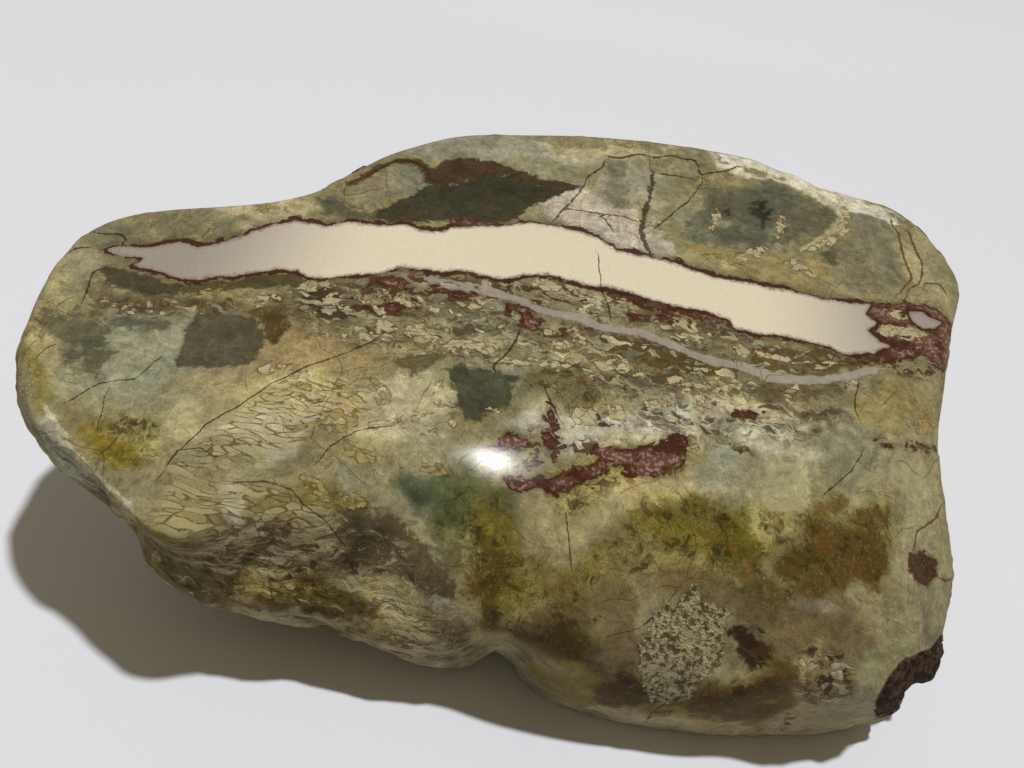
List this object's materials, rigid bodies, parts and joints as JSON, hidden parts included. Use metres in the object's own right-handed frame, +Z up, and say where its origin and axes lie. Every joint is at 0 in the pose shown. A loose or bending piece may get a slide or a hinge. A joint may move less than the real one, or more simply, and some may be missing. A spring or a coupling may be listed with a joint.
{
  "type": "polished thunderegg",
  "caption": "Large irregular thunderegg nodule with a flat sloping polished cut, a sharp lip, a rounded front edge, lumpy sides and a flat foot to stand on.",
  "frame": {"origin": "on the foot plane, under the stone's middle: the point named by the mount foot", "axes": "+X along the stone's length, from its sharp lip towards its thick end; +Y towards the high back edge; +Z up"},
  "size_m": [0.3837, 0.25, 0.1738],
  "materials": {
    "jasper_and_agate": "polished"
  },
  "bodies": {
    "root": {"thunderegg": "jasper_and_agate"}
  },
  "joints": []
}
